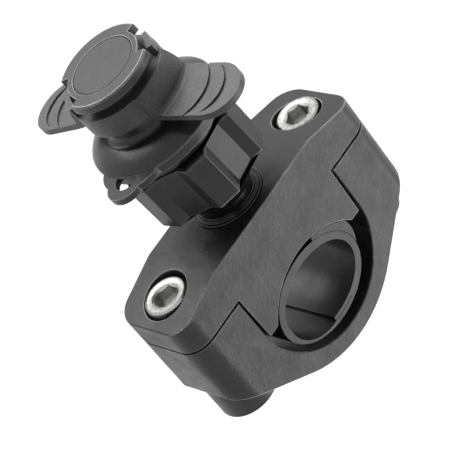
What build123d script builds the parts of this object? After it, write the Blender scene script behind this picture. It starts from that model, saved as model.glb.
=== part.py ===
from build123d import *
import math
import os

os.makedirs("parts", exist_ok=True)

# Handlebar clamp. The bar runs along Y, and the screws stand along Z at plus and minus X.
bar_max = 35.0
clamp_depth = 20.6
top_wall = 14.9
land_drop = 3.3
ear_height = 6.2
ear_floor = 2.1
slot_wall = 1.6
end_margin = 7.6
end_corner = 5.0
parting_gap = 0.5
tongue_length = 12.5
tongue_hold = 0.7
tongue_taper = 0.35
slide_clearance = 0.35
belly_wall = 4.0
belly_radius = 25.4
lower_end_height = 15.3
lower_end_round = 2.5
boss_radius = 6.9
boss_drop = 9.1
edge_round = 0.35

# M6 socket cap screws and their captive nuts.
screw_radius = 3.0
screw_length = 25.0
screw_head_radius = 5.0
screw_head_height = 6.0
screw_head_round = 0.5
screw_tip_chamfer = 0.6
screw_key = 5.0
screw_key_depth = 3.0
screw_clearance = 0.3
head_clearance = 0.5
nut_flats = 10.0
nut_height = 5.0
nut_clearance = 0.1

# Rubber sleeves. With no bar in the clamp they are squeezed oval.
sleeve_side_wall = 1.6
sleeve_end_wall = 1.95
sleeve_side_space = 4.55
sleeve_end_space = 1.7
sleeve_offset = 1.2
sleeve_lift = 0.95
sleeve_recess = 0.1
sleeve_gap = 0.1
lap_wall = 0.95
lap_shift = 2.3
lap_drop = 0.95
lap_gap = 0.12
lap_from_angle = -103.0
lap_to_angle = -62.0
outer_sleeve_from = 43.0
outer_sleeve_to = 76.0
outer_sleeve_tail = 0.7
outer_sleeve_bulge = 0.65

# Ball stud and the screw that holds it from below.
ball_radius = 9.4
ball_rise = 9.6
neck_radius = 6.6
stud_base_radius = 8.1
stud_base_height = 0.5
stud_step_radius = 7.25
stud_step_height = 0.5
stud_spigot_radius = 4.8
stud_spigot_depth = 3.5
stud_fit = 0.06
stud_screw_radius = 2.5
stud_screw_reach = 9.0
stud_bore_spare = 1.0
stud_screw_head_radius = 4.2
stud_screw_head_height = 3.0
stud_screw_sink = 0.4
stud_screw_key = 4.0

# Head. Heights are counted from the ball's centre along the head's own axis.
tilt_angle_x = -4.2
tilt_angle_y = 2.05
spin_angle = 12.0
ball_clearance = 0.05
socket_wall = 1.1
socket_lip = 1.2
socket_top = 16.4
collet_slots = 6
collet_slot_width = 1.0
collet_slot_top = 8.0

# Lock nut.
thread_clearance = 0.15
lock_nut_wall = 1.7
lock_nut_lobe_height = 2.1
lock_nut_lobes = 6
lobe_half_angle = 10.0
lobe_side_angle = 8.0
lock_nut_bottom = -0.6
lock_nut_height = 12.6
lock_nut_turn_angle = -126.0
lock_nut_edge = 0.4
lobe_round = 0.5
valley_round = 1.0

# Head base: hub, domed flange, neck, column and lanyard loop.
flange_radius = 15.0
flange_drop = 1.8
flange_rim = 2.1
hub_wall = 1.6
hub_lift = 0.3
hub_roof_gap = 0.3
dome_radius = 12.0
dome_shoulder_radius = 10.4
dome_rise = 2.8
base_neck_radius = 8.5
base_neck_round = 1.9
base_neck_foot = 1.4
base_neck_top = 22.9
column_radius = 6.0
running_clearance = 0.08
tab_reach = 20.4
tab_half_width = 4.2
tab_blend = 6.0
tab_thickness = 1.6
tab_turn_angle = 3.5
loop_radius = 2.6
loop_reach = 15.2

# Locking collar with its wings and teeth.
collar_travel = 3.0
collar_stop_gap = 0.1
collar_height = 5.1
collar_wall_radius = 10.6
collar_top_radius = 10.9
collar_bore_clearance = 0.25
collar_web = 1.4
wing_shoulder_run = 2.0
wing_shoulder_drop = 4.2
wing_shoulder_round = 6.2
wing_foot_run = 0.9
wing_foot_drop = 1.0
wing_foot_round = 1.1
wing_tip_radius = 27.1
wing_droop = 1.5
wing_thickness = 1.5
wing_root_thickness = 1.1
wing_root_run = 1.4
wing_half_width = 6.3
groove_depth = 0.45
groove_width = 1.3
groove_flattening = 1.2
inner_groove_reach = 20.6
inner_groove_radius = 7.6
outer_groove_reach = 24.5
outer_groove_radius = 6.0
tooth_inner_radius = 9.2
tooth_outer_radius = 10.5
tooth_half_angle = 15.5
tooth_height = 2.3
tooth_angle = -45.0

# Bayonet disc, its screw and its cap.
disc_radius = 10.4
disc_rise = 1.9
disc_thickness = 2.05
disc_edge = 0.3
disc_neck_radius = 8.4
disc_seat_gap = 0.1
notch_half_angle = 28.0
cap_radius = 7.0
cap_thickness = 1.2
cap_gap = 0.12
cap_edge = 0.25
centre_screw_radius = 2.0
centre_screw_length = 18.0
centre_screw_clearance = 0.06
centre_screw_head_radius = 3.4
centre_screw_head_height = 1.3
centre_screw_head_gap = 0.2
centre_screw_key = 2.5
centre_screw_key_depth = 0.9

# Return spring of the collar.
spring_wire_radius = 0.35
spring_coils = 3.0
spring_seat_gap = 0.05

# Sizes worked out from those above.
seat_radius = bar_max / 2
half_depth = clamp_depth / 2
top_height = seat_radius + top_wall
land_end = top_height - land_drop
parting = land_end - ear_height
lower_top = parting - parting_gap
lower_end = lower_top - lower_end_height
boss_end = lower_end - boss_drop
closing = tongue_length - tongue_hold
tongue_end = parting - tongue_length
tongue_half_width = seat_radius - slide_clearance
saddle_bottom = closing - seat_radius
nut_pocket_half = nut_flats / 2 + nut_clearance
screw_x = seat_radius + slot_wall + nut_pocket_half
end_x = screw_x + end_margin
top_half_width = screw_x - boss_radius
screw_seat = parting + ear_floor
screw_head_top = screw_seat + screw_head_height

sleeve_half_width = seat_radius - sleeve_side_space
sleeve_half_height = seat_radius - closing / 2 - sleeve_end_space
sleeve_middle = closing / 2 + sleeve_lift
sleeve_half_length = half_depth - sleeve_recess
sleeve_bore_half_width = sleeve_half_width - sleeve_side_wall
sleeve_bore_half_height = sleeve_half_height - sleeve_end_wall

ball_height = top_height + ball_rise
neck_joint = ball_height - math.sqrt(ball_radius ** 2 - neck_radius ** 2)
stud_base_top = top_height + stud_base_height
stud_step_top = stud_base_top + stud_step_height
stud_base_floor = top_height - stud_base_height
stud_floor = top_height - stud_spigot_depth
stud_screw_seat = seat_radius + stud_screw_sink + stud_screw_head_height

socket_bore = ball_radius + ball_clearance
socket_radius = socket_bore + socket_wall
lip_radius = math.sqrt(socket_bore ** 2 - socket_lip ** 2)
nut_bore = socket_radius + thread_clearance
nut_valley_radius = nut_bore + lock_nut_wall
nut_lobe_radius = nut_valley_radius + lock_nut_lobe_height
lock_nut_top = lock_nut_bottom + lock_nut_height
hub_bottom = lock_nut_top + hub_lift
hub_bore = socket_radius + running_clearance
hub_radius = hub_bore + hub_wall
hub_roof = socket_top + hub_roof_gap
flange_bottom = hub_roof - flange_drop
flange_top = flange_bottom + flange_rim
dome_shoulder_height = flange_top + dome_rise
neck_foot_height = dome_shoulder_height + base_neck_foot
tab_middle = tab_reach - tab_half_width
blend_reach = flange_radius + tab_blend
blend_x = (blend_reach ** 2 - (tab_half_width + tab_blend) ** 2 + tab_middle ** 2) / (2 * tab_middle)
blend_y = math.sqrt(blend_reach ** 2 - blend_x ** 2)
tip_share = tab_half_width / (tab_half_width + tab_blend)
flange_touch = (blend_x * flange_radius / blend_reach, blend_y * flange_radius / blend_reach)
tip_touch = (tab_middle + (blend_x - tab_middle) * tip_share, blend_y * tip_share)
collar_bore = base_neck_radius + collar_bore_clearance
collar_bottom = neck_foot_height + collar_travel + collar_stop_gap
collar_top = collar_bottom + collar_height
wing_shoulder_radius = collar_top_radius + wing_shoulder_run
wing_shoulder_height = collar_top - wing_shoulder_drop
wing_foot_radius = wing_shoulder_radius + wing_foot_run
wing_foot_height = wing_shoulder_height - wing_foot_drop
wing_tip_height = wing_foot_height - wing_droop
wing_root_radius = collar_wall_radius + wing_root_run
web_bottom = collar_top - collar_web
web_bore = column_radius + collar_bore_clearance
tooth_top = collar_top + tooth_height
column_top = collar_top + disc_seat_gap
disc_bottom = column_top + disc_rise
disc_top = disc_bottom + disc_thickness
spring_radius = (column_radius + collar_bore) / 2
spring_bottom = base_neck_top + spring_wire_radius + spring_seat_gap
spring_top = web_bottom - spring_wire_radius - spring_seat_gap
cap_floor = disc_top - cap_thickness
centre_screw_seat = cap_floor - centre_screw_head_height - centre_screw_head_gap
centre_screw_tip = centre_screw_seat - centre_screw_length

# Planes of the head: one square to its axis, one along it, with the wings on the first one's Y.
head_axis = Vector(math.tan(math.radians(tilt_angle_x)), math.tan(math.radians(tilt_angle_y)), 1)
upright = Plane(origin=(0, 0, ball_height), x_dir=Vector(0, 1, 0).cross(head_axis), z_dir=head_axis)
head_plane = Plane(upright.location * Rotation(0, 0, spin_angle))
tab_plane = Plane(upright.location * Rotation(0, 0, spin_angle + tab_turn_angle))
head_section = Plane(origin=head_plane.origin, x_dir=head_plane.x_dir, z_dir=-head_plane.y_dir)
head_line = Axis(head_plane.origin, head_plane.z_dir)


# Clamp upper half: flat top, sloping lands, and a tongue down each side of the saddle.
with BuildPart() as clamp_upper:
    with BuildSketch(Plane.XZ):
        with BuildLine():
            tongue_corner = math.sqrt(seat_radius ** 2 - tongue_end ** 2)
            tongue_foot = tongue_half_width - tongue_taper
            Polyline(
                (-tongue_corner, tongue_end),
                (-tongue_foot, tongue_end),
                (-tongue_half_width, parting),
                (-end_x, parting),
                (-end_x, land_end),
                (-top_half_width, top_height),
                (top_half_width, top_height),
                (end_x, land_end),
                (end_x, parting),
                (tongue_half_width, parting),
                (tongue_foot, tongue_end),
                (tongue_corner, tongue_end),
            )
            ThreePointArc((tongue_corner, tongue_end), (0, seat_radius), (-tongue_corner, tongue_end))
        make_face()
    extrude(amount=half_depth, both=True)
    upper_ends = clamp_upper.edges().filter_by(Axis.Z).filter_by(lambda e: abs(e.center().X) > end_x - 0.01)
    fillet(upper_ends, end_corner)
    above_ears = clamp_upper.edges().filter_by(lambda e: e.center().Z > land_end - 0.01)
    across_top = above_ears.filter_by(Axis.Y)
    land_rims = above_ears.filter_by(lambda e: abs(e.center().X) > end_x - end_corner)
    fillet((above_ears - across_top) + (across_top & land_rims), edge_round)
    with Locations((0, 0, top_height)):
        CounterBoreHole(
            stud_spigot_radius + stud_fit,
            stud_base_radius + stud_fit,
            stud_base_height,
            depth=stud_spigot_depth,
        )
    with BuildSketch(Plane.XY.offset(stud_screw_seat)):
        Circle(stud_screw_head_radius + screw_clearance)
    extrude(amount=-stud_screw_seat, mode=Mode.SUBTRACT)
    with BuildSketch(Plane.XY.offset(stud_floor)):
        Circle(stud_screw_radius + screw_clearance)
    extrude(amount=-stud_floor, mode=Mode.SUBTRACT)
    with BuildSketch(Plane.XY.offset(screw_seat)):
        with Locations((screw_x, 0), (-screw_x, 0)):
            Circle(screw_head_radius + head_clearance)
    extrude(amount=top_height, mode=Mode.SUBTRACT)
    with BuildSketch(Plane.XY):
        with Locations((screw_x, 0), (-screw_x, 0)):
            Circle(screw_radius + screw_clearance)
    extrude(amount=top_height, mode=Mode.SUBTRACT)
clamp_upper.part.label = "clamp_upper"
export_step(clamp_upper.part, "parts/clamp_upper.step")

# Clamp lower half: a deep slot for the tongues that ends in the saddle, with a boss under each end.
with BuildPart() as clamp_lower:
    belly_bottom = saddle_bottom - belly_wall
    belly_centre = belly_bottom + belly_radius
    corner_reach = math.hypot(end_x, lower_end - belly_centre)
    corner_angle = math.atan2(lower_end - belly_centre, end_x)
    touch_angle = corner_angle - math.acos(belly_radius / corner_reach)
    touch_x = belly_radius * math.cos(touch_angle)
    touch_z = belly_centre + belly_radius * math.sin(touch_angle)
    with BuildSketch(Plane.XZ) as lower_profile:
        with BuildLine():
            Polyline(
                (touch_x, touch_z),
                (end_x, lower_end),
                (end_x, lower_top),
                (seat_radius, lower_top),
                (seat_radius, closing),
            )
            ThreePointArc((seat_radius, closing), (0, saddle_bottom), (-seat_radius, closing))
            Polyline(
                (-seat_radius, closing),
                (-seat_radius, lower_top),
                (-end_x, lower_top),
                (-end_x, lower_end),
                (-touch_x, touch_z),
            )
            ThreePointArc((-touch_x, touch_z), (0, belly_bottom), (touch_x, touch_z))
        make_face()
        end_corners = lower_profile.vertices().filter_by(lambda v: abs(v.X) > end_x - 0.01).group_by(Axis.Y)[0]
        fillet(end_corners, lower_end_round)
    extrude(amount=half_depth, both=True)
    face_rims = clamp_lower.faces().sort_by(Axis.Y)[0].edges() + clamp_lower.faces().sort_by(Axis.Y)[-1].edges()
    slot_rims = face_rims.filter_by(lambda e: abs(e.center().X) < seat_radius + 0.01 and e.center().Z > saddle_bottom)
    fillet(slot_rims, edge_round)
    with BuildSketch(Plane.XY.offset(belly_bottom)):
        RectangleRounded(2 * end_x, clamp_depth, end_corner)
    extrude(amount=lower_top - belly_bottom, mode=Mode.INTERSECT)
    with BuildSketch(Plane.XY.offset(boss_end)):
        with Locations((screw_x, 0), (-screw_x, 0)):
            Circle(boss_radius)
    extrude(amount=lower_end - boss_end)
    with BuildSketch(Plane.XY.offset(boss_end)):
        with Locations((screw_x, 0), (-screw_x, 0)):
            Circle(screw_radius + screw_clearance)
    extrude(amount=lower_top - boss_end, mode=Mode.SUBTRACT)
    with BuildSketch(Plane.XY.offset(lower_top)):
        with Locations((screw_x, 0), (-screw_x, 0)):
            RegularPolygon(nut_pocket_half, 6, major_radius=False, rotation=30)
    extrude(amount=-nut_height, mode=Mode.SUBTRACT)
clamp_lower.part.label = "clamp_lower"
export_step(clamp_lower.part, "parts/clamp_lower.step")

# Hex nuts held in the lower half, and the socket cap screws that draw them up.
for side, side_x in (("left", -screw_x), ("right", screw_x)):
    with BuildPart() as clamp_nut:
        with BuildSketch(Plane.XY.offset(lower_top - nut_height)):
            with Locations((side_x, 0)):
                RegularPolygon(nut_flats / 2, 6, major_radius=False, rotation=30)
                Circle(screw_radius + nut_clearance, mode=Mode.SUBTRACT)
        extrude(amount=nut_height)
    clamp_nut.part.label = "clamp_nut_" + side
    export_step(clamp_nut.part, "parts/clamp_nut_" + side + ".step")

    with BuildPart() as clamp_screw:
        with BuildSketch(Plane.XY.offset(screw_seat)):
            with Locations((side_x, 0)):
                Circle(screw_head_radius)
        extrude(amount=screw_head_height)
        fillet(clamp_screw.faces().sort_by(Axis.Z)[-1].edges(), screw_head_round)
        with BuildSketch(Plane.XY.offset(screw_seat)):
            with Locations((side_x, 0)):
                Circle(screw_radius)
        extrude(amount=-screw_length)
        chamfer(clamp_screw.faces().sort_by(Axis.Z)[0].edges(), screw_tip_chamfer)
        with BuildSketch(Plane.XY.offset(screw_head_top)):
            with Locations((side_x, 0)):
                RegularPolygon(screw_key / 2, 6, major_radius=False)
        extrude(amount=-screw_key_depth, mode=Mode.SUBTRACT)
    clamp_screw.part.label = "clamp_screw_" + side
    export_step(clamp_screw.part, "parts/clamp_screw_" + side + ".step")

# Inner sleeve: a split rubber ring, pressed to the upper saddle, with one end lapped over the other.
with BuildPart() as inner_sleeve:
    pressed_radius = seat_radius - sleeve_gap
    with BuildSketch(Plane.XZ):
        with Locations((-sleeve_offset, sleeve_middle)):
            Ellipse(sleeve_half_width, sleeve_half_height)
        Circle(pressed_radius, mode=Mode.INTERSECT)
    extrude(amount=sleeve_half_length, both=True)
    with BuildSketch(Plane.XZ):
        with Locations((-sleeve_offset, sleeve_middle)):
            Ellipse(sleeve_bore_half_width, sleeve_bore_half_height)
    extrude(amount=sleeve_half_length, both=True, mode=Mode.SUBTRACT)
    with BuildSketch(Plane.XZ):
        with Locations((-sleeve_offset - lap_shift, sleeve_middle - lap_drop)):
            Ellipse(sleeve_bore_half_width - lap_shift, sleeve_bore_half_height)
        with Locations(Location((-sleeve_offset, sleeve_middle), lap_from_angle)):
            lap_side = (Align.MIN, Align.MAX)
            Rectangle(sleeve_half_width, sleeve_half_width, align=lap_side, mode=Mode.INTERSECT)
    extrude(amount=sleeve_half_length, both=True, mode=Mode.SUBTRACT)
    with BuildSketch(Plane.XZ):
        with Locations((-sleeve_offset, sleeve_middle)):
            lap_half_width = sleeve_half_width - lap_wall
            lap_half_height = sleeve_half_height - lap_wall
            Ellipse(lap_half_width, lap_half_height)
            Ellipse(lap_half_width - lap_gap, lap_half_height - lap_gap, mode=Mode.SUBTRACT)
            lap_from = math.radians(lap_from_angle)
            lap_to = math.radians(lap_to_angle)
            Polygon(
                (0, 0),
                (2 * sleeve_half_width * math.cos(lap_from), 2 * sleeve_half_width * math.sin(lap_from)),
                (2 * sleeve_half_width * math.cos(lap_to), 2 * sleeve_half_width * math.sin(lap_to)),
                align=None,
                mode=Mode.INTERSECT,
            )
    extrude(amount=sleeve_half_length, both=True, mode=Mode.SUBTRACT)
inner_sleeve.part.label = "inner_sleeve"
export_step(inner_sleeve.part, "parts/inner_sleeve.step")

# Outer sleeve: the strip that fills the space between the saddle and the squeezed ring.
with BuildPart() as outer_sleeve:
    strip_start = (
        pressed_radius * math.cos(math.radians(outer_sleeve_from)),
        pressed_radius * math.sin(math.radians(outer_sleeve_from)),
    )
    strip_end = (
        pressed_radius * math.cos(math.radians(outer_sleeve_to)),
        pressed_radius * math.sin(math.radians(outer_sleeve_to)),
    )
    tail = (sleeve_half_width - sleeve_offset + sleeve_gap, sleeve_middle - outer_sleeve_tail)
    tail_bulge = (
        (strip_start[0] + tail[0]) / 2 + outer_sleeve_bulge,
        (strip_start[1] + tail[1]) / 2,
    )
    with BuildSketch(Plane.XZ):
        with BuildLine():
            CenterArc((0, 0), pressed_radius, outer_sleeve_from, outer_sleeve_to - outer_sleeve_from)
            Line(strip_end, (0, sleeve_middle))
            Line((0, sleeve_middle), tail)
            ThreePointArc(tail, tail_bulge, strip_start)
        make_face()
        with Locations((-sleeve_offset, sleeve_middle)):
            Ellipse(sleeve_half_width + sleeve_gap, sleeve_half_height + sleeve_gap, mode=Mode.SUBTRACT)
    extrude(amount=sleeve_half_length, both=True)
outer_sleeve.part.label = "outer_sleeve"
export_step(outer_sleeve.part, "parts/outer_sleeve.step")

# Ball stud: stepped base let into the clamp, neck and ball.
with BuildPart() as ball_stud:
    with BuildSketch(Plane.XZ):
        with BuildLine():
            Polyline(
                (0, stud_floor),
                (stud_spigot_radius, stud_floor),
                (stud_spigot_radius, stud_base_floor),
                (stud_base_radius, stud_base_floor),
                (stud_base_radius, stud_base_top),
                (stud_step_radius, stud_base_top),
                (stud_step_radius, stud_step_top),
                (neck_radius, stud_step_top),
                (neck_radius, neck_joint),
            )
            ThreePointArc(
                (neck_radius, neck_joint),
                (ball_radius, ball_height),
                (0, ball_height + ball_radius),
            )
            Line((0, ball_height + ball_radius), (0, stud_floor))
        make_face()
    revolve(axis=Axis.Z)
    with BuildSketch(Plane.XY.offset(stud_floor)):
        Circle(stud_screw_radius + nut_clearance)
    extrude(amount=stud_screw_reach + stud_bore_spare, mode=Mode.SUBTRACT)
ball_stud.part.label = "ball_stud"
export_step(ball_stud.part, "parts/ball_stud.step")

# Screw that holds the ball stud from inside the saddle.
with BuildPart() as stud_screw:
    with BuildSketch(Plane.XY.offset(stud_screw_seat)):
        Circle(stud_screw_head_radius)
    extrude(amount=-stud_screw_head_height)
    with BuildSketch(Plane.XY.offset(stud_screw_seat)):
        Circle(stud_screw_radius)
    extrude(amount=stud_floor + stud_screw_reach - stud_screw_seat)
    with BuildSketch(Plane.XY.offset(stud_screw_seat - stud_screw_head_height)):
        RegularPolygon(stud_screw_key / 2, 6, major_radius=False)
    extrude(amount=stud_screw_head_height / 2, mode=Mode.SUBTRACT)
stud_screw.part.label = "stud_screw"
export_step(stud_screw.part, "parts/stud_screw.step")

# Collet socket: a barrel with a round hollow, slotted into fingers that close on the ball.
with BuildPart() as collet_socket:
    with BuildSketch(head_section):
        with BuildLine():
            Polyline(
                (lip_radius, -socket_lip),
                (socket_radius, -socket_lip),
                (socket_radius, socket_top),
                (0, socket_top),
                (0, socket_bore),
            )
            ThreePointArc(
                (0, socket_bore),
                (socket_bore * math.sin(math.pi / 4), socket_bore * math.cos(math.pi / 4)),
                (lip_radius, -socket_lip),
            )
        make_face()
    revolve(axis=head_line)
    with BuildSketch(head_plane.offset(-socket_lip)):
        with PolarLocations(0, collet_slots):
            Rectangle(2 * socket_radius, collet_slot_width, align=(Align.MIN, Align.CENTER))
    extrude(amount=collet_slot_top + socket_lip, mode=Mode.SUBTRACT)
    with BuildSketch(head_plane.offset(socket_top)):
        Circle(centre_screw_radius + centre_screw_clearance)
    extrude(amount=centre_screw_tip - socket_top - centre_screw_clearance, mode=Mode.SUBTRACT)
collet_socket.part.label = "collet_socket"
export_step(collet_socket.part, "parts/collet_socket.step")

# Lock nut: six flat-topped grip lobes with flat-bottomed hollows between them.
with BuildPart() as lock_nut:
    grip_points = []
    for lobe in range(lock_nut_lobes):
        lobe_angle = lock_nut_turn_angle + lobe * 360 / lock_nut_lobes
        valley_angle = 360 / lock_nut_lobes - lobe_half_angle - lobe_side_angle
        for point_radius, point_turn in (
            (nut_lobe_radius, -lobe_half_angle),
            (nut_lobe_radius, lobe_half_angle),
            (nut_valley_radius, lobe_half_angle + lobe_side_angle),
            (nut_valley_radius, valley_angle),
        ):
            point_angle = math.radians(lobe_angle + point_turn)
            grip_points.append((point_radius * math.cos(point_angle), point_radius * math.sin(point_angle)))
    with BuildSketch(head_plane.offset(lock_nut_bottom)) as grip:
        Polygon(*grip_points, align=None)
        lobe_corners = grip.vertices().sort_by(lambda v: math.hypot(v.X, v.Y))[-2 * lock_nut_lobes:]
        valley_corners = grip.vertices().sort_by(lambda v: math.hypot(v.X, v.Y))[:2 * lock_nut_lobes]
        fillet(lobe_corners, lobe_round)
        fillet(valley_corners, valley_round)
    extrude(amount=lock_nut_height)
    grip_rims = lock_nut.faces().sort_by(head_line)[0].edges() + lock_nut.faces().sort_by(head_line)[-1].edges()
    chamfer(grip_rims, lock_nut_edge)
    with BuildSketch(head_plane.offset(lock_nut_bottom)):
        Circle(nut_bore)
    extrude(amount=lock_nut_height, mode=Mode.SUBTRACT)
lock_nut.part.label = "lock_nut"
export_step(lock_nut.part, "parts/lock_nut.step")

# Head base: hub over the socket, domed flange with the lanyard loop, neck and column.
with BuildPart() as head_base:
    with BuildSketch(head_section):
        with BuildLine():
            Polyline(
                (0, hub_roof),
                (hub_bore, hub_roof),
                (hub_bore, hub_bottom),
                (hub_radius, hub_bottom),
                (hub_radius, flange_bottom),
                (flange_radius, flange_bottom),
                (flange_radius, flange_top),
            )
            RadiusArc(
                (flange_radius, flange_top),
                (dome_shoulder_radius, dome_shoulder_height),
                -dome_radius,
            )
            RadiusArc(
                (dome_shoulder_radius, dome_shoulder_height),
                (base_neck_radius, neck_foot_height),
                base_neck_round,
            )
            Polyline(
                (base_neck_radius, neck_foot_height),
                (base_neck_radius, base_neck_top),
                (column_radius, base_neck_top),
                (column_radius, column_top),
                (0, column_top),
                (0, hub_roof),
            )
        make_face()
    revolve(axis=head_line)
    with BuildSketch(tab_plane.offset(flange_top)):
        with BuildLine():
            Line((-flange_touch[0], -flange_touch[1]), (-flange_touch[0], flange_touch[1]))
            RadiusArc((-flange_touch[0], flange_touch[1]), (-tip_touch[0], tip_touch[1]), -tab_blend)
            ThreePointArc((-tip_touch[0], tip_touch[1]), (-tab_reach, 0), (-tip_touch[0], -tip_touch[1]))
            RadiusArc((-tip_touch[0], -tip_touch[1]), (-flange_touch[0], -flange_touch[1]), -tab_blend)
        make_face()
        with Locations((-loop_reach, 0)):
            Circle(loop_radius, mode=Mode.SUBTRACT)
    extrude(amount=-tab_thickness)
    with BuildSketch(head_plane.offset(column_top)):
        Circle(centre_screw_radius + centre_screw_clearance)
    extrude(amount=hub_roof - column_top, mode=Mode.SUBTRACT)
head_base.part.label = "head_base"
export_step(head_base.part, "parts/head_base.step")

# Locking collar: a turned wall that flows out into two grooved wings, with two teeth on its top.
with BuildPart() as locking_collar:
    with BuildSketch(head_section):
        with BuildLine():
            Polyline(
                (wing_tip_radius, wing_tip_height),
                (wing_tip_radius, wing_tip_height - wing_thickness),
                (wing_foot_radius, wing_foot_height - wing_thickness),
                (wing_root_radius, wing_foot_height - wing_root_thickness),
                (collar_wall_radius, collar_bottom),
                (collar_bore, collar_bottom),
                (collar_bore, web_bottom),
                (web_bore, web_bottom),
                (web_bore, collar_top),
                (collar_top_radius, collar_top),
            )
            RadiusArc(
                (collar_top_radius, collar_top),
                (wing_shoulder_radius, wing_shoulder_height),
                wing_shoulder_round,
            )
            RadiusArc(
                (wing_shoulder_radius, wing_shoulder_height),
                (wing_foot_radius, wing_foot_height),
                -wing_foot_round,
            )
            Line((wing_foot_radius, wing_foot_height), (wing_tip_radius, wing_tip_height))
        make_face()
    revolve(axis=head_line)
    with BuildSketch(head_plane.offset(wing_tip_height - wing_thickness)):
        Circle(collar_wall_radius)
        SlotOverall(2 * wing_tip_radius, 2 * wing_half_width, rotation=90)
    extrude(amount=collar_top - wing_tip_height + wing_thickness, mode=Mode.INTERSECT)
    for way in (1, -1):
        across = head_plane.x_dir * way
        outward = head_plane.y_dir * (way * (wing_tip_radius - wing_foot_radius))
        outward += head_plane.z_dir * (wing_tip_height - wing_foot_height)
        wing_root = head_plane.from_local_coords((0, way * wing_foot_radius, wing_foot_height))
        wing_top = Plane(origin=wing_root, x_dir=across, z_dir=across.cross(outward))
        for reach, curve in (
            (inner_groove_reach, inner_groove_radius),
            (outer_groove_reach, outer_groove_radius),
        ):
            flat_curve = curve * groove_flattening
            with BuildSketch(wing_top.offset(-groove_depth)):
                with Locations((0, reach - wing_foot_radius - curve)):
                    Circle(curve)
                with Locations((0, reach - wing_foot_radius - groove_width - flat_curve)):
                    Circle(flat_curve, mode=Mode.SUBTRACT)
            extrude(amount=2 * groove_depth, mode=Mode.SUBTRACT)
    with BuildSketch(head_plane.offset(web_bottom)):
        with PolarLocations(0, 2, start_angle=tooth_angle):
            tooth_spread = 2 * tooth_outer_radius * math.tan(math.radians(tooth_half_angle))
            Polygon(
                (0, 0),
                (2 * tooth_outer_radius, tooth_spread),
                (2 * tooth_outer_radius, -tooth_spread),
                align=None,
            )
        Circle(tooth_outer_radius, mode=Mode.INTERSECT)
        Circle(tooth_inner_radius, mode=Mode.SUBTRACT)
    extrude(amount=tooth_top - web_bottom)
locking_collar.part.label = "locking_collar"
export_step(locking_collar.part, "parts/locking_collar.step")

# Return spring round the column.
with BuildPart() as return_spring:
    with BuildLine(head_plane.offset(spring_bottom)) as coil:
        spring_height = spring_top - spring_bottom
        Helix(spring_height / spring_coils, spring_height, spring_radius, direction=head_plane.z_dir)
    with BuildSketch(Plane(origin=coil.line @ 0, z_dir=coil.line % 0)):
        Circle(spring_wire_radius)
    sweep(is_frenet=True)
return_spring.part.label = "return_spring"
export_step(return_spring.part, "parts/return_spring.step")

# Bayonet disc, with a notch over each tooth of the collar.
with BuildPart() as bayonet_disc:
    with BuildSketch(head_plane.offset(column_top)):
        Circle(disc_neck_radius)
    extrude(amount=disc_bottom - column_top)
    with BuildSketch(head_plane.offset(disc_bottom)):
        Circle(disc_radius)
    extrude(amount=disc_top - disc_bottom)
    chamfer(bayonet_disc.faces().sort_by(head_line)[-1].edges(), disc_edge)
    with BuildSketch(head_plane.offset(disc_bottom)):
        with PolarLocations(0, 2, start_angle=tooth_angle):
            notch_spread = 2 * disc_radius * math.tan(math.radians(notch_half_angle))
            Polygon(
                (0, 0),
                (2 * disc_radius, notch_spread),
                (2 * disc_radius, -notch_spread),
                align=None,
            )
        Circle(disc_neck_radius, mode=Mode.SUBTRACT)
    extrude(amount=disc_top - disc_bottom, mode=Mode.SUBTRACT)
    with BuildSketch(head_plane.offset(cap_floor)):
        Circle(cap_radius + cap_gap)
    extrude(amount=cap_thickness, mode=Mode.SUBTRACT)
    with BuildSketch(head_plane.offset(centre_screw_seat)):
        Circle(centre_screw_head_radius + screw_clearance)
    extrude(amount=disc_top - centre_screw_seat, mode=Mode.SUBTRACT)
    with BuildSketch(head_plane.offset(column_top)):
        Circle(centre_screw_radius + centre_screw_clearance)
    extrude(amount=disc_top - column_top, mode=Mode.SUBTRACT)
bayonet_disc.part.label = "bayonet_disc"
export_step(bayonet_disc.part, "parts/bayonet_disc.step")

# Centre screw: it holds the disc on the column and the head on the socket.
with BuildPart() as centre_screw:
    with BuildSketch(head_plane.offset(centre_screw_seat)):
        Circle(centre_screw_head_radius)
    extrude(amount=centre_screw_head_height)
    with BuildSketch(head_plane.offset(centre_screw_seat)):
        Circle(centre_screw_radius)
    extrude(amount=-centre_screw_length)
    with BuildSketch(head_plane.offset(centre_screw_seat + centre_screw_head_height)):
        RegularPolygon(centre_screw_key / 2, 6, major_radius=False)
    extrude(amount=-centre_screw_key_depth, mode=Mode.SUBTRACT)
centre_screw.part.label = "centre_screw"
export_step(centre_screw.part, "parts/centre_screw.step")

# Round cap over the screw.
with BuildPart() as cap_disc:
    with BuildSketch(head_plane.offset(cap_floor)):
        Circle(cap_radius)
    extrude(amount=cap_thickness)
    fillet(cap_disc.faces().sort_by(head_line)[-1].edges(), cap_edge)
cap_disc.part.label = "cap_disc"
export_step(cap_disc.part, "parts/cap_disc.step")
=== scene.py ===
import math

import bmesh
import bpy
from mathutils import Matrix, Vector


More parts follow.
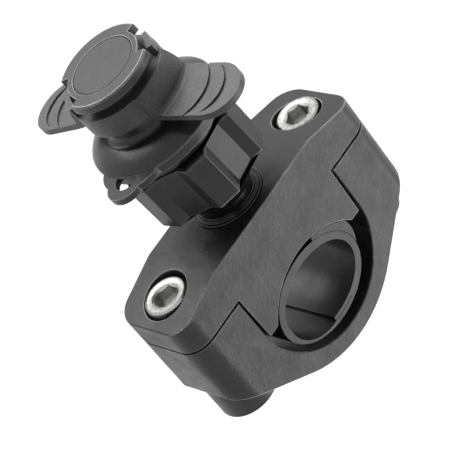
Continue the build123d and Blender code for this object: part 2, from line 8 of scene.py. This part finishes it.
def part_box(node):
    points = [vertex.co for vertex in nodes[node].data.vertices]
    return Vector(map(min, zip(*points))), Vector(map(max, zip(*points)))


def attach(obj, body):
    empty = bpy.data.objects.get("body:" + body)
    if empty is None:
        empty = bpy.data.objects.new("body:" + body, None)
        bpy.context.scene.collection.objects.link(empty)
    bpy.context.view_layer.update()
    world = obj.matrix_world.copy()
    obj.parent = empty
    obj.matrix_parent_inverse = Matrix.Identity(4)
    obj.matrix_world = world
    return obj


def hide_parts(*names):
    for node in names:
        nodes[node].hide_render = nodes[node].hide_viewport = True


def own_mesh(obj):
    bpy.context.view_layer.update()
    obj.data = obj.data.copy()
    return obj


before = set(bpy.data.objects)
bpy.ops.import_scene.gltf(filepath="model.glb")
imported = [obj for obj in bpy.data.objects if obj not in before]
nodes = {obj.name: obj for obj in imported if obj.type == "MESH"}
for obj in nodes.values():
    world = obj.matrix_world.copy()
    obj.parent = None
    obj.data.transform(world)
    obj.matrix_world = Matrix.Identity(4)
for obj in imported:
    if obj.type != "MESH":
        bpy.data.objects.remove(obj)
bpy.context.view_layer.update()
bpy.ops.object.select_all(action="DESELECT")
print("frame loaded:", len(nodes), "nodes")

mm = 0.001


# Camera

cameraPlace = {
    "right": (0.55159617, -0.65732595, -0.51348249),
    "up": (0.76587033, 0.15525566, 0.62396981),
    "toward": (-0.33043048, -0.73744036, 0.58906486),
    "aside": -17.032 * mm,  # from the handlebar's axis, along right
    "above": 14.481 * mm,  # along up
    "distance": 462.221 * mm,  # along toward
    "pixelsPerUnit": 2183.301,  # focal length in pixels of the 452 pixel wide picture
    "pictureWidth": 452,
    "sensor": 36.0,
    "clip": (0.01, 20),
}


def addCamera():
    place = cameraPlace
    right, up, toward = Vector(place["right"]), Vector(place["up"]), Vector(place["toward"])
    data = bpy.data.cameras.new("productCamera")
    data.sensor_width = place["sensor"]
    data.sensor_fit = "HORIZONTAL"
    data.lens = place["pixelsPerUnit"] / place["pictureWidth"] * place["sensor"]
    data.clip_start, data.clip_end = place["clip"]
    camera = bpy.data.objects.new("productCamera", data)
    bpy.context.scene.collection.objects.link(camera)
    turned = Matrix((right, up, toward)).transposed().to_4x4()
    turned.translation = (
        right * place["aside"] + up * place["above"] + toward * place["distance"]
    )
    camera.matrix_world = turned
    bpy.context.scene.camera = camera


addCamera()
print("camera placed")


# Studio: white floor and surround, soft lamps

studio = {
    "middle": (0, 0, 0.02),  # what the lamps stand round and point at
    "floorDrop": 0.62,  # below the handlebar's axis: the mount is held up in the air
    "floorSize": 9.0,
    "paperGrey": 0.8,
    "paperRoughness": 0.9,
    "floorGlow": 0.9,  # added where the floor is looked at, so that it shows white
    "surroundLight": 0.10,  # what the surround lights the mount with
    "surroundSeen": 1.0,
    "lamps": [
        # name, place in camera directions (aside, above, towards) in metres, size, power
        ("leftLamp", (-0.48, 0.35, 0.08), 0.45, 2.0),
        ("topLamp", (-0.19, 0.56, 0.08), 0.45, 1.6),
        ("rightLamp", (0.59, 0.00, 0.08), 0.45, 1.35),
        ("lowLamp", (0.50, -0.21, -0.25), 0.45, 1.5),
    ],
}


def addLamp(name, place, size, power):
    middle = Vector(studio["middle"])
    axes = [Vector(cameraPlace[way]) for way in ("right", "up", "toward")]
    where = sum((axis * step for axis, step in zip(axes, place)), middle)
    data = bpy.data.lights.new(name, "AREA")
    data.shape = "DISK"
    data.size = size
    data.energy = power
    lamp = bpy.data.objects.new(name, data)
    bpy.context.scene.collection.objects.link(lamp)
    lamp.location = where
    lamp.rotation_euler = (middle - where).to_track_quat("-Z", "Y").to_euler()
    lamp.visible_camera = False


def whiteWhereSeen(tree, plain, seen):
    # what the camera, a mirror or clear glass looks at is white; all else gets the plain light
    path = tree.nodes.new("ShaderNodeLightPath")
    both = plain
    for ray in ("Is Camera Ray", "Is Glossy Ray", "Is Transmission Ray"):
        mix = tree.nodes.new("ShaderNodeMixShader")
        tree.links.new(path.outputs[ray], mix.inputs["Fac"])
        tree.links.new(both, mix.inputs[1])
        tree.links.new(seen, mix.inputs[2])
        both = mix.outputs["Shader"]
    return both


def addBackground(tree, strength):
    background = tree.nodes.new("ShaderNodeBackground")
    background.inputs["Color"].default_value = (1, 1, 1, 1)
    background.inputs["Strength"].default_value = strength
    return background.outputs["Background"]


def addSurround():
    world = bpy.data.worlds.new("studioSurround")
    bpy.context.scene.world = world
    world.use_nodes = True
    tree = world.node_tree
    tree.nodes.clear()
    output = tree.nodes.new("ShaderNodeOutputWorld")
    seen = addBackground(tree, studio["surroundSeen"])
    light = addBackground(tree, studio["surroundLight"])
    tree.links.new(whiteWhereSeen(tree, light, seen), output.inputs["Surface"])


def addFloor():
    bpy.ops.mesh.primitive_plane_add(
        size=studio["floorSize"], location=(0, 0, -studio["floorDrop"])
    )
    floor = bpy.context.object
    floor.name = "studioFloor"
    paper = bpy.data.materials.new("whitePaper")
    paper.use_nodes = True
    tree = paper.node_tree
    shader = tree.nodes["Principled BSDF"]
    grey = studio["paperGrey"]
    shader.inputs["Base Color"].default_value = (grey, grey, grey, 1)
    shader.inputs["Roughness"].default_value = studio["paperRoughness"]
    glow = tree.nodes.new("ShaderNodeEmission")
    glow.inputs["Strength"].default_value = studio["floorGlow"]
    add = tree.nodes.new("ShaderNodeAddShader")
    tree.links.new(shader.outputs["BSDF"], add.inputs[0])
    tree.links.new(glow.outputs["Emission"], add.inputs[1])
    both = whiteWhereSeen(tree, shader.outputs["BSDF"], add.outputs["Shader"])
    tree.links.new(both, tree.nodes["Material Output"].inputs["Surface"])
    floor.data.materials.append(paper)


addSurround()
addFloor()
for lampSettings in studio["lamps"]:
    addLamp(*lampSettings)
print("studio lit")


# Materials

noiseSpan = (0.3, 0.7)  # nearly all of a noise's values lie between these


def newFinish(name, colour, roughness, metallic=0.0, specular=0.5):
    finish = bpy.data.materials.new(name)
    finish.use_nodes = True
    shader = finish.node_tree.nodes["Principled BSDF"]
    shader.inputs["Base Color"].default_value = (*colour, 1)
    shader.inputs["Roughness"].default_value = roughness
    shader.inputs["Metallic"].default_value = metallic
    shader.inputs["Specular IOR Level"].default_value = specular
    return finish, finish.node_tree, shader


def addNoise(tree, size, detail, roughness=0.5):
    place = tree.nodes.new("ShaderNodeTexCoord")
    noise = tree.nodes.new("ShaderNodeTexNoise")
    noise.inputs["Scale"].default_value = 1 / (size * mm)
    noise.inputs["Detail"].default_value = detail
    noise.inputs["Roughness"].default_value = roughness
    tree.links.new(place.outputs["Object"], noise.inputs["Vector"])
    return noise.outputs["Fac"]


def spread(tree, value, low, high):
    # a noise value within its span becomes one between low and high
    ramp = tree.nodes.new("ShaderNodeMapRange")
    ramp.inputs["From Min"].default_value = noiseSpan[0]
    ramp.inputs["From Max"].default_value = noiseSpan[1]
    ramp.inputs["To Min"].default_value = low
    ramp.inputs["To Max"].default_value = high
    tree.links.new(value, ramp.inputs["Value"])
    return ramp.outputs["Result"]


def blendColours(tree, value, dark, light):
    mix = tree.nodes.new("ShaderNodeMix")
    mix.data_type = "RGBA"
    mix.inputs["A"].default_value = (*dark, 1)
    mix.inputs["B"].default_value = (*light, 1)
    tree.links.new(spread(tree, value, 0, 1), mix.inputs["Factor"])
    return mix.outputs["Result"]


def addRelief(tree, shader, height, strength, depth):
    bump = tree.nodes.new("ShaderNodeBump")
    bump.inputs["Strength"].default_value = strength
    bump.inputs["Distance"].default_value = depth * mm
    tree.links.new(height, bump.inputs["Height"])
    tree.links.new(bump.outputs["Normal"], shader.inputs["Normal"])


mouldedPlastic = {
    # grain and cloud are sizes and depth is the grain's height, all in mm; mottle is how much
    # the dark clouds darken, rough runs from dark to light clouds, and swell is how far the
    # clouds stand out against the grain
    "clampPlastic": {
        "colour": 0.044, "mottle": 0.45, "rough": (0.46, 0.24),
        "grain": 0.42, "cloud": 6, "depth": 0.055, "swell": 5.0,
    },
    "nutPlastic": {
        "colour": 0.026, "mottle": 0.30, "rough": (0.36, 0.22),
        "grain": 0.40, "cloud": 5, "depth": 0.016, "swell": 2.5,
    },
    "headPlastic": {
        "colour": 0.052, "mottle": 0.30, "rough": (0.34, 0.21),
        "grain": 0.40, "cloud": 5, "depth": 0.018, "swell": 2.5,
    },
    # collar, disc and cap get a lighter grey than the clamp: painted sheen, the bright reflection
    # their tops catch put into the colour
    "collarPlastic": {
        "colour": 0.158, "mottle": 0.25, "rough": (0.46, 0.32),
        "grain": 0.40, "cloud": 6, "depth": 0.020, "swell": 2.5,
    },
    "discPlastic": {
        "colour": 0.115, "mottle": 0.25, "rough": (0.38, 0.27),
        "grain": 0.35, "cloud": 5, "depth": 0.014, "swell": 2.5,
    },
    "capPlastic": {
        "colour": 0.105, "mottle": 0.25, "rough": (0.42, 0.32),
        "grain": 0.30, "cloud": 5, "depth": 0.014, "swell": 2.5,
    },
    "socketPlastic": {
        "colour": 0.022, "mottle": 0.25, "rough": (0.42, 0.32),
        "grain": 0.35, "cloud": 5, "depth": 0.012, "swell": 2.5,
    },
    "sleeveRubber": {
        "colour": 0.042, "mottle": 0.40, "rough": (0.44, 0.24),
        "grain": 0.45, "cloud": 5, "depth": 0.016, "swell": 2.5,
    },
}

plasticLook = {
    # what all the moulded plastics share
    "specular": 0.35,
    "grainDetail": 4.0,
    "grainRoughness": 0.65,
    "cloudDetail": 5.0,
    "cloudRoughness": 0.62,
    "speckleDark": (0.72, 0.72, 0.73),
    "speckleLight": (1.30, 1.30, 1.30),
    "relief": 0.7,
}

# painted highlight along the rounded edges: a lighter, smoother copy of each plastic goes on them
paintedEdgeHighlight = {
    "lighter": 5.0,  # painted highlight: the edges' grey is made this many times lighter than the faces'
    "clampLighter": 10.0,
    "lightest": 0.62,
    "smoother": 0.75,
}


def makePlastic(name, edge=False):
    plastic, look = mouldedPlastic[name], plasticLook
    highlightGain = paintedEdgeHighlight["clampLighter" if name == "clampPlastic" else "lighter"]
    grey = plastic["colour"]
    smoother = 1
    # the edge finish: painted highlight, the grey made several times lighter and capped, and
    # smoother
    if edge:
        grey = min(grey * highlightGain, paintedEdgeHighlight["lightest"])
        smoother = paintedEdgeHighlight["smoother"]
    finish, tree, shader = newFinish(
        name + ("Edge" if edge else ""), (grey, grey, grey), plastic["rough"][0],
        specular=look["specular"],
    )
    grain = addNoise(tree, plastic["grain"], look["grainDetail"], look["grainRoughness"])
    clouds = addNoise(tree, plastic["cloud"], look["cloudDetail"], look["cloudRoughness"])
    dark = tuple(grey * share for share in look["speckleDark"])
    light = tuple(grey * share for share in look["speckleLight"])
    worn = tree.nodes.new("ShaderNodeMix")  # the clouds darken and lighten the speckled surface
    worn.data_type = "RGBA"
    worn.blend_type = "MULTIPLY"
    worn.inputs["Factor"].default_value = 1.0
    tree.links.new(blendColours(tree, grain, dark, light), worn.inputs["A"])
    low = 1 - plastic["mottle"]
    tree.links.new(blendColours(tree, clouds, (low, low, low), (1, 1, 1)), worn.inputs["B"])
    tree.links.new(worn.outputs["Result"], shader.inputs["Base Color"])
    rough = [value * smoother for value in plastic["rough"]]
    tree.links.new(spread(tree, clouds, *rough), shader.inputs["Roughness"])
    leather = tree.nodes.new("ShaderNodeMath")  # grain on a slow swell, as the mould leaves it
    leather.operation = "MULTIPLY_ADD"
    tree.links.new(clouds, leather.inputs[0])
    leather.inputs[1].default_value = plastic["swell"]
    tree.links.new(grain, leather.inputs[2])
    relief = look["relief"] * smoother
    addRelief(tree, shader, leather.outputs["Value"], relief, plastic["depth"])
    return finish


metal = {
    "screwSteel": {"colour": (0.43, 0.43, 0.42), "rough": (0.24, 0.42), "grain": 0.7},
    "springSteel": {"colour": (0.55, 0.55, 0.56), "rough": (0.25, 0.35), "grain": 0.4},
}

metalLook = {"light": 1.08, "dark": 0.85, "grainDetail": 3.0, "relief": 0.15, "depth": 0.004}


def makeMetal(name):
    steel, look = metal[name], metalLook
    finish, tree, shader = newFinish(name, steel["colour"], steel["rough"][0], metallic=1.0)
    grain = addNoise(tree, steel["grain"], look["grainDetail"])
    light = tuple(min(1, part * look["light"]) for part in steel["colour"])
    dark = tuple(part * look["dark"] for part in steel["colour"])
    tree.links.new(blendColours(tree, grain, dark, light), shader.inputs["Base Color"])
    tree.links.new(spread(tree, grain, *steel["rough"]), shader.inputs["Roughness"])
    addRelief(tree, shader, grain, look["relief"], look["depth"])
    return finish


ballGloss = {
    "clean": (0.007, 0.007, 0.007),
    "soiled": (0.014, 0.014, 0.014),
    "specular": 0.3,
    "rough": (0.16, 0.28),
    "soil": 0.4,  # size in mm
    "soilDetail": 3.0,
    "scuff": 1.5,  # size in mm
    "scuffDetail": 4.0,
    "relief": 0.1,
    "depth": 0.01,
}


def makeBallGloss():
    gloss = ballGloss
    finish, tree, shader = newFinish(
        "ballGloss", gloss["clean"], gloss["rough"][0], specular=gloss["specular"]
    )
    scuffs = addNoise(tree, gloss["scuff"], gloss["scuffDetail"])
    tree.links.new(spread(tree, scuffs, *gloss["rough"]), shader.inputs["Roughness"])
    soil = addNoise(tree, gloss["soil"], gloss["soilDetail"])
    film = blendColours(tree, soil, gloss["clean"], gloss["soiled"])
    tree.links.new(film, shader.inputs["Base Color"])
    addRelief(tree, shader, scuffs, gloss["relief"], gloss["depth"])
    return finish


finishes = {name: makePlastic(name) for name in mouldedPlastic}
# lighter edge finishes: painted highlight on the rounded edges
finishes.update({name + "Edge": makePlastic(name, edge=True) for name in mouldedPlastic})
finishes.update({name: makeMetal(name) for name in metal})
finishes["ballGloss"] = makeBallGloss()

finishOf = {
    "clamp_upper": "clampPlastic",
    "clamp_lower": "clampPlastic",
    "inner_sleeve": "sleeveRubber",
    "outer_sleeve": "sleeveRubber",
    "clamp_screw_left": "screwSteel",
    "clamp_screw_right": "screwSteel",
    "clamp_nut_left": "screwSteel",
    "clamp_nut_right": "screwSteel",
    "stud_screw": "screwSteel",
    "centre_screw": "screwSteel",
    "ball_stud": "ballGloss",
    "collet_socket": "socketPlastic",
    "lock_nut": "nutPlastic",
    "head_base": "headPlastic",
    "locking_collar": "collarPlastic",
    "bayonet_disc": "discPlastic",
    "cap_disc": "capPlastic",
    "return_spring": "springSteel",
}
for node, finishName in finishOf.items():
    nodes[node].data.materials.clear()
    nodes[node].data.materials.append(finishes[finishName])
print("finishes on", len(finishOf), "pieces")


# Picking what an operator acts on

def pickOnly(piece):
    bpy.ops.object.select_all(action="DESELECT")
    piece.select_set(True)
    bpy.context.view_layer.objects.active = piece


def pickVertices(piece, wanted):
    # in edit mode: selects the vertices for which wanted(place) is true, and nothing else
    bpy.ops.mesh.select_all(action="DESELECT")
    bpy.ops.object.mode_set(mode="OBJECT")
    for vertex in piece.data.vertices:
        vertex.select = wanted(vertex.co)
    bpy.ops.object.mode_set(mode="EDIT")


def applyModifier(piece, kind, **settings):
    pickOnly(piece)
    modifier = piece.modifiers.new(kind.lower(), kind)
    for name, value in settings.items():
        setattr(modifier, name, value)
    bpy.ops.object.modifier_apply(modifier=modifier.name)


def settle(piece):
    # the place goes into the mesh, as a CAD piece has it
    pickOnly(piece)
    bpy.ops.object.transform_apply(location=True, rotation=True, scale=True)


def joinedCopy(node, name):
    # a copy of a CAD piece with its loose triangles joined, left in edit mode and selected
    weld = 0.002  # mm
    piece = bpy.data.objects.new(name, nodes[node].data.copy())
    bpy.context.scene.collection.objects.link(piece)
    pickOnly(piece)
    bpy.ops.mesh.customdata_custom_splitnormals_clear()
    bpy.ops.object.mode_set(mode="EDIT")
    bpy.ops.mesh.select_all(action="SELECT")
    bpy.ops.mesh.remove_doubles(threshold=weld * mm)
    return piece


# Moulded pieces: the CAD shape with its outer edges rounded as the mould leaves them

rounding = {
    # node: new piece, body, slot, edge radius in mm, whether narrow places hold the radius back
    "clamp_upper": ("upperClamp", "clamp_body", "clamp_plastic", 0.22, False),
    "clamp_lower": ("lowerClamp", "lower_clamp", "clamp_plastic", 0.22, False),
    "inner_sleeve": ("innerSleeve", "clamp_body", "sleeve_rubber", 0.18, True),
    "outer_sleeve": ("outerSleeve", "clamp_body", "sleeve_rubber", 0.15, True),
    "lock_nut": ("lockNut", "nut", "lock_nut_plastic", 0.35, False),
    "head_base": ("headBase", "head", "head_plastic", 0.22, True),
    "locking_collar": ("lockingCollar", "collar", "collar_plastic", 0.22, True),
    "bayonet_disc": ("bayonetDisc", "head", "disc_plastic", 0.15, False),
    "cap_disc": ("capDisc", "head", "cap_plastic", 0.08, False),
    "collet_socket": ("colletSocket", "socket", "socket_plastic", 0.12, True),
}

mould = {
    # angles in degrees
    "flat": 0.4,  # faces that differ by less become one
    "outer": 32,  # an edge that stands out by more is rounded, inner corners stay crisp
    "smooth": 24,  # shading runs on over less
    "steps": 3,  # in each round
    "flatWeight": 50,  # keeps the flats flat beside the rounds
}

highlightedRounds = {
    # the clamp's long rounds, which get the lighter edge finish as its sharper edges do: painted
    # highlight
    "upward": {"clamp_upper": 1, "clamp_lower": -1},  # they face up or down
    "lean": 0.12,  # least share of the face's direction that points aside, and up or down
    "largest": 30.0,  # mm2
}


def paintRoundHighlights(piece, node):
    lean = highlightedRounds["lean"]
    for face in piece.data.polygons:
        aside, up = abs(face.normal.y), face.normal.z * highlightedRounds["upward"][node]
        small = face.area < highlightedRounds["largest"] * mm * mm
        # these faces get the lighter edge finish: painted highlight
        if aside > lean and up > lean and small:
            face.material_index = 1


def markOuterEdges(piece):
    shape = bmesh.new()
    shape.from_mesh(piece.data)
    weight = shape.edges.layers.float.new("bevel_weight_edge")
    least = math.radians(mould["outer"])
    for edge in shape.edges:
        if len(edge.link_faces) == 2 and edge.calc_face_angle_signed() > least:
            edge[weight] = 1.0
    shape.to_mesh(piece.data)
    shape.free()


def roundedCopy(node):
    name, body, slotName, radius, heldBack = rounding[node]
    piece = joinedCopy(node, name)
    bpy.ops.mesh.dissolve_limited(angle_limit=math.radians(mould["flat"]))
    bpy.ops.object.mode_set(mode="OBJECT")
    markOuterEdges(piece)
    # the rounds get the lighter edge finish: painted highlight along the edges
    piece.data.materials.append(finishes[finishOf[node] + "Edge"])
    applyModifier(
        piece, "BEVEL", width=radius * mm, segments=mould["steps"], limit_method="WEIGHT",
        miter_outer="MITER_ARC", use_clamp_overlap=heldBack, material=1,
    )
    if node in highlightedRounds["upward"]:
        paintRoundHighlights(piece, node)
    bpy.ops.object.shade_smooth_by_angle(angle=math.radians(mould["smooth"]))
    applyModifier(
        piece, "WEIGHTED_NORMAL", mode="FACE_AREA", weight=mould["flatWeight"], keep_sharp=True
    )
    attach(piece, body)
    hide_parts(node)


for node in rounding:
    roundedCopy(node)
print("rounded", len(rounding), "moulded pieces")


# Return spring, which shortens as the collar is pushed down: here only copied from the CAD coil
# and shaded smooth

spring = {
    "axis": (-0.0731916, 0.0356757, 0.9966796),  # of the head
    "ballHeight": 42.0,
    "foot": 22.95,  # of the spring, above the ball's centre along the axis
    "pushed": 0.38,  # share of its height that is left under the pushed collar
    "smooth": 40,  # degrees
}


def makeSpring():
    piece = joinedCopy("return_spring", "returnSpring")
    bpy.ops.object.mode_set(mode="OBJECT")
    bpy.ops.object.shade_smooth_by_angle(angle=math.radians(spring["smooth"]))
    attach(piece, "head")
    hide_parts("return_spring")
    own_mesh(piece)


makeSpring()
print("spring coiled")


# Turned pieces: half a section is drawn and spun

turning = {
    "weld": 0.01,  # mm
    "near": 0.02,  # mm, within which a point counts as on a radius
    "smooth": 30,  # degrees
}


def turnProfile(name, profile, centre, columns):
    # the profile gives radius and height above the centre in mm, and is drawn point by point;
    # the piece is left in edit mode
    bpy.ops.object.select_all(action="DESELECT")
    bpy.ops.mesh.primitive_plane_add(size=1 * mm, location=(0, 0, 0))
    piece = bpy.context.object
    piece.name = name
    piece.location = centre
    settle(piece)
    bpy.ops.object.mode_set(mode="EDIT")
    bpy.ops.mesh.select_all(action="SELECT")
    bpy.ops.mesh.merge(type="CENTER")
    radius, height = profile[0]
    bpy.ops.transform.translate(value=(radius * mm, 0, height * mm))
    for before, after in zip(profile, profile[1:]):
        step = ((after[0] - before[0]) * mm, 0, (after[1] - before[1]) * mm)
        bpy.ops.mesh.extrude_region_move(TRANSFORM_OT_translate={"value": step})
    bpy.ops.mesh.select_all(action="SELECT")
    bpy.ops.mesh.spin(steps=columns, angle=math.tau, center=centre, axis=(0, 0, 1))
    bpy.ops.mesh.select_all(action="SELECT")
    bpy.ops.mesh.remove_doubles(threshold=turning["weld"] * mm)
    return piece


def finishTurned(piece):
    bpy.ops.mesh.select_all(action="SELECT")
    bpy.ops.mesh.normals_make_consistent(inside=False)
    bpy.ops.object.mode_set(mode="OBJECT")
    bpy.ops.object.shade_smooth_by_angle(angle=math.radians(turning["smooth"]))


def onRadius(place, centre, radius):
    away = math.hypot(place.x - centre[0], place.y - centre[1])
    return abs(away - radius * mm) < turning["near"] * mm


# Clamp screws: socket cap heads with a knurled side, a turned rim and a broached key

screw = {
    "columns": 96,  # round the head, every second one a valley of the knurl
    "headRadius": 5.0,
    "headHeight": 6.0,
    "underHead": (0.35, 0.3),  # chamfer under the head, in from the side and up
    "knurlDepth": 0.24,
    "knurlTop": 0.55,  # below the top face
    "rimRound": [(0.20, 0.43), (0.34, 0.14), (0.55, 0.0)],  # in from the side, below the top
    "rimRadius": 4.35,  # inner edge of the rim's slope
    "rimStep": 0.12,
    "countersink": 3.15,
    "countersinkEdge": (0.25, 0.10),  # chamfer round it, out and down
    "countersinkFall": 0.8,  # for each mm inwards
    "keyFlats": 5.0,
    "keyDepth": 3.0,
    "drillShare": 0.8,  # width of the drilled hole against the key
    "drillPoint": 0.7,
    "shankRadius": 3.0,
    "shankLength": 25.0,
    "tipChamfer": 0.6,
    "threadPitch": 1.0,
    "threadDepth": 0.34,
    "threadLength": 19.0,
    "threadShape": (0.15, 0.50, 0.65),  # of the pitch: end of the crest, start and end of the root
    "neckRound": 0.3,
    "apart": 48.4,
}


def screwProfile():
    # radius and height, which is below the head's top face, from the tip up to the countersink;
    # the thread is drawn as rings
    side, head = screw["shankRadius"], screw["headRadius"]
    under, tip = screw["headHeight"], screw["headHeight"] + screw["shankLength"]
    pitch, root = screw["threadPitch"], side - screw["threadDepth"]
    crestEnd, rootStart, rootEnd = screw["threadShape"]
    rings = int(screw["threadLength"] / pitch)
    profile = [(0.0, tip), (side - screw["tipChamfer"], tip)]
    for ring in range(rings):
        low = tip - screw["tipChamfer"] - ring * pitch
        profile += [
            (side, low), (side, low - crestEnd * pitch),
            (root, low - rootStart * pitch), (root, low - rootEnd * pitch),
        ]
    profile += [
        (side, tip - screw["tipChamfer"] - rings * pitch),
        (side, under + screw["neckRound"]), (side + screw["neckRound"], under),
        (head - screw["underHead"][0], under), (head, under - screw["underHead"][1]),
        (head, screw["knurlTop"]),
    ]
    profile += [(head - inwards, depth) for inwards, depth in screw["rimRound"]]
    out, down = screw["countersinkEdge"]
    profile += [
        (screw["rimRadius"], screw["rimStep"]),
        (screw["countersink"] + out, screw["rimStep"]),
        (screw["countersink"], screw["rimStep"] + down),
    ]
    return [(radius, -depth) for radius, depth in profile]


def pressKnurl(piece, centre):
    # every second column of the head's side goes in: a straight knurl
    def inValley(place):
        depth = (centre[2] - place.z) / mm
        turn = math.atan2(place.y, place.x - centre[0]) / math.tau
        top = screw["knurlTop"] - turning["near"]
        onSide = onRadius(place, centre, screw["headRadius"]) and top < depth
        return onSide and depth < screw["headHeight"] and round(turn * screw["columns"]) % 2 == 0

    pickVertices(piece, inValley)
    squeeze = 1 - screw["knurlDepth"] / screw["headRadius"]
    bpy.ops.transform.resize(value=(squeeze, squeeze, 1), center_override=centre)


def cutKey(piece, centre):
    # the countersink slopes down until it meets the six flats, which leaves the scalloped edge
    x, y, top = centre
    floor = (x, y, top - screw["keyDepth"] * mm)
    flat = math.tau / 6
    share = screw["drillShare"]
    pickVertices(piece, lambda place: onRadius(place, centre, screw["countersink"]))
    bpy.ops.mesh.extrude_edges_move(TRANSFORM_OT_translate={"value": (0, 0, 0)})
    bpy.ops.object.mode_set(mode="OBJECT")
    for vertex in piece.data.vertices:
        if vertex.select:
            angle = math.atan2(vertex.co.y, vertex.co.x - x)
            toFlat = (angle + flat / 2) % flat - flat / 2
            radius = screw["keyFlats"] / 2 / math.cos(toFlat)
            inwards = screw["countersink"] - radius
            vertex.co.x = x + radius * mm * math.cos(angle)
            vertex.co.y = radius * mm * math.sin(angle)
            vertex.co.z -= inwards * screw["countersinkFall"] * mm
    bpy.ops.object.mode_set(mode="EDIT")
    down = {"value": (0, 0, -screw["keyDepth"] * mm)}
    bpy.ops.mesh.extrude_edges_move(TRANSFORM_OT_translate=down)
    bpy.ops.transform.resize(value=(1, 1, 0), center_override=floor)
    bpy.ops.mesh.extrude_edges_move(TRANSFORM_OT_translate={"value": (0, 0, 0)})
    bpy.ops.transform.resize(value=(share, share, 1), center_override=floor)
    down = {"value": (0, 0, -screw["drillPoint"] * mm)}
    bpy.ops.mesh.extrude_edges_move(TRANSFORM_OT_translate=down)
    bpy.ops.mesh.merge(type="CENTER")


def makeScrew(name):
    low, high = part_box("clamp_screw_left")
    centre = ((low[0] + high[0]) / 2, 0, high[2])  # of the head's top face
    piece = turnProfile(name, screwProfile(), centre, screw["columns"])
    pressKnurl(piece, centre)
    cutKey(piece, centre)
    finishTurned(piece)
    return piece


def copyAlong(piece, name, step):
    twin = bpy.data.objects.new(name, piece.data.copy())
    bpy.context.scene.collection.objects.link(twin)
    twin.location = step
    settle(twin)
    return twin


screwLeft = makeScrew("clampScrewLeft")
screwRight = copyAlong(screwLeft, "clampScrewRight", (screw["apart"] * mm, 0, 0))
for piece, side in ((screwLeft, "left"), (screwRight, "right")):
    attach(piece, "screw_" + side)
    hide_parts("clamp_screw_" + side)
    piece.data.materials.append(finishes["screwSteel"])
print("clamp screws turned")


# Ball stud: turned in one piece, polished ball on a stepped base

ballStud = {
    # heights above the handlebar's axis
    "columns": 128,
    "floor": 28.9,
    "boreRadius": 2.6,
    "boreTop": 38.9,
    "spigotRadius": 4.8,
    "baseFloor": 31.9,
    "baseRadius": 8.1,
    "baseTop": 32.9,
    "stepRadius": 7.25,
    "stepTop": 33.4,
    "neckRadius": 6.6,
    "neckTop": 35.307,
    "ballRadius": 9.4,
    "ballHeight": 42.0,
    "ballRows": 40,
    "chamfer": 0.18,
}


def studProfile():
    # from the top of the bore, down and round the base, up to the ball's top
    stud, cut = ballStud, ballStud["chamfer"]
    profile = [
        (0, stud["boreTop"]), (stud["boreRadius"], stud["boreTop"]),
        (stud["boreRadius"], stud["floor"]), (stud["spigotRadius"], stud["floor"]),
        (stud["spigotRadius"], stud["baseFloor"]), (stud["baseRadius"], stud["baseFloor"]),
        (stud["baseRadius"], stud["baseTop"] - cut), (stud["baseRadius"] - cut, stud["baseTop"]),
        (stud["stepRadius"] + cut, stud["baseTop"]), (stud["stepRadius"], stud["baseTop"] + cut),
        (stud["stepRadius"], stud["stepTop"] - cut), (stud["stepRadius"] - cut, stud["stepTop"]),
        (stud["neckRadius"] + cut, stud["stepTop"]), (stud["neckRadius"], stud["stepTop"] + cut),
    ]
    start = math.atan2(stud["neckTop"] - stud["ballHeight"], stud["neckRadius"])
    for row in range(stud["ballRows"] + 1):
        angle = start + (math.pi / 2 - start) * row / stud["ballRows"]
        height = stud["ballHeight"] + stud["ballRadius"] * math.sin(angle)
        profile.append((stud["ballRadius"] * math.cos(angle), height))
    return profile


ball = turnProfile("ballStud", studProfile(), (0, 0, 0), ballStud["columns"])
finishTurned(ball)
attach(ball, "ball")
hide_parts("ball_stud")
ball.data.materials.append(finishes["ballGloss"])
print("ball stud turned")

bpy.context.scene.view_settings.view_transform = "Standard"
